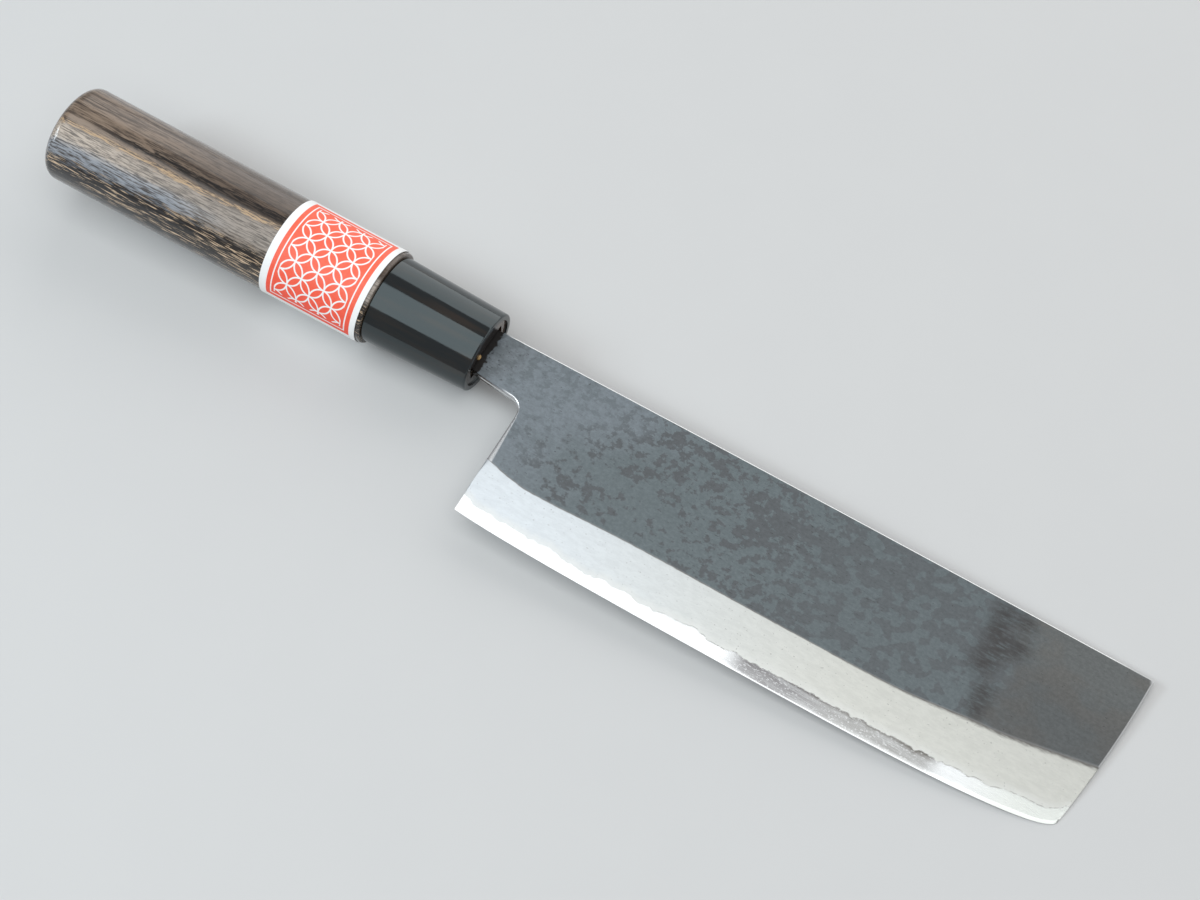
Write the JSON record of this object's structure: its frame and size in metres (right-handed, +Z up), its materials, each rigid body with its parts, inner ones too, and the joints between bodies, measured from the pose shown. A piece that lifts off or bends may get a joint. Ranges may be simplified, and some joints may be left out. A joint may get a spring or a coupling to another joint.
{
  "type": "vegetable knife",
  "caption": "Vegetable knife with a tall rectangular laminated blade, black forge scale above its ground faces, and an oval wooden handle with a dark ferrule and a paper band.",
  "frame": {"origin": "on the table under the middle of the knife's box, the knife lying on its left side", "axes": "+X along the knife from the butt to the tip, +Y across the blade from the cutting edge to the spine, +Z up from the table through the right side of the blade"},
  "size_m": [0.319, 0.057, 0.0293],
  "materials": {
    "hard_steel": "finely stoned bright steel",
    "scaled_iron": "black forge scale on the flats, satin grinding below the grinding line",
    "burnt_wood": "burnt and lacquered open-pored wood, dark and tan streaks",
    "dark_ring": "polished black",
    "printed_paper": "red print with white borders on white paper",
    "dark_resin": "dark set resin"
  },
  "bodies": {
    "root": {"core_layer": "hard_steel", "right_iron_layer": "scaled_iron", "left_iron_layer": "scaled_iron", "wooden_handle": "burnt_wood", "ferrule": "dark_ring", "paper_band": "printed_paper", "tang_resin": "dark_resin"}
  },
  "joints": []
}
